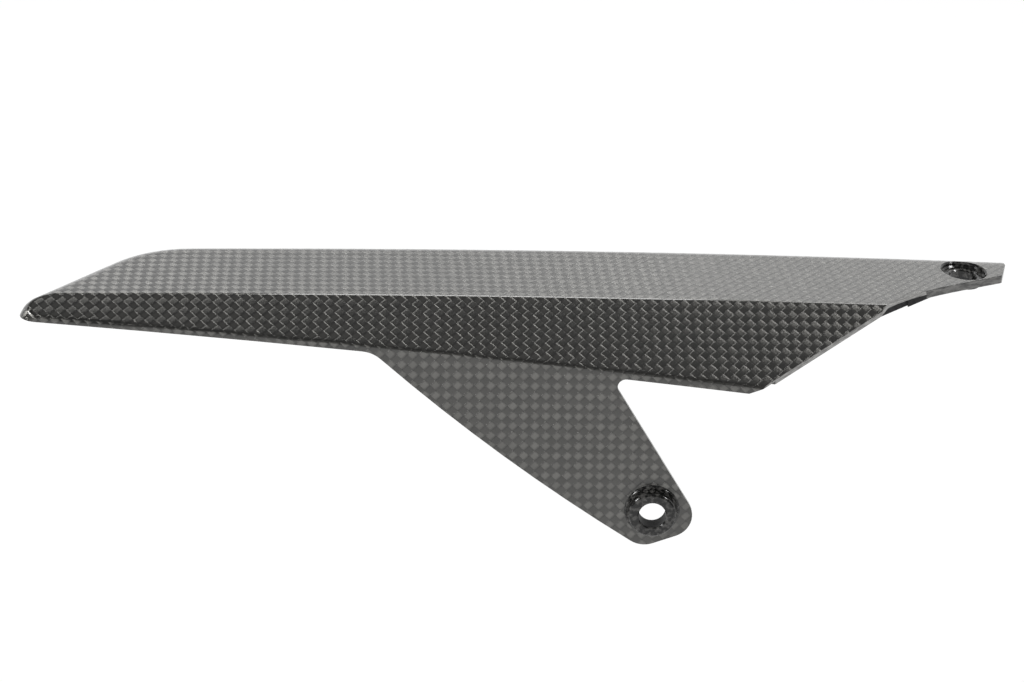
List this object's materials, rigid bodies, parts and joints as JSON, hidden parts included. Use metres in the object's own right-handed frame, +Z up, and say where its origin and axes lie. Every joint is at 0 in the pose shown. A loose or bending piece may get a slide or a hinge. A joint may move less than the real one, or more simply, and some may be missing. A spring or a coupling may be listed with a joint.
{
  "type": "motorcycle chain guard",
  "caption": "Moulded chain guard of woven carbon laminate: an arched cover over the upper chain run, with a drop bracket and a rear ear that are bored for screws.",
  "frame": {"origin": "centre of the bracket's bore, on the outer face of the bracket", "axes": "+X from the nose to the tail, +Y inboard over the chain, +Z up"},
  "size_m": [0.3643, 0.0952, 0.0886],
  "materials": {
    "carbon_laminate": "plain-woven carbon cloth under a clear gloss coat"
  },
  "bodies": {
    "root": {"chain_guard": "carbon_laminate"}
  },
  "joints": []
}
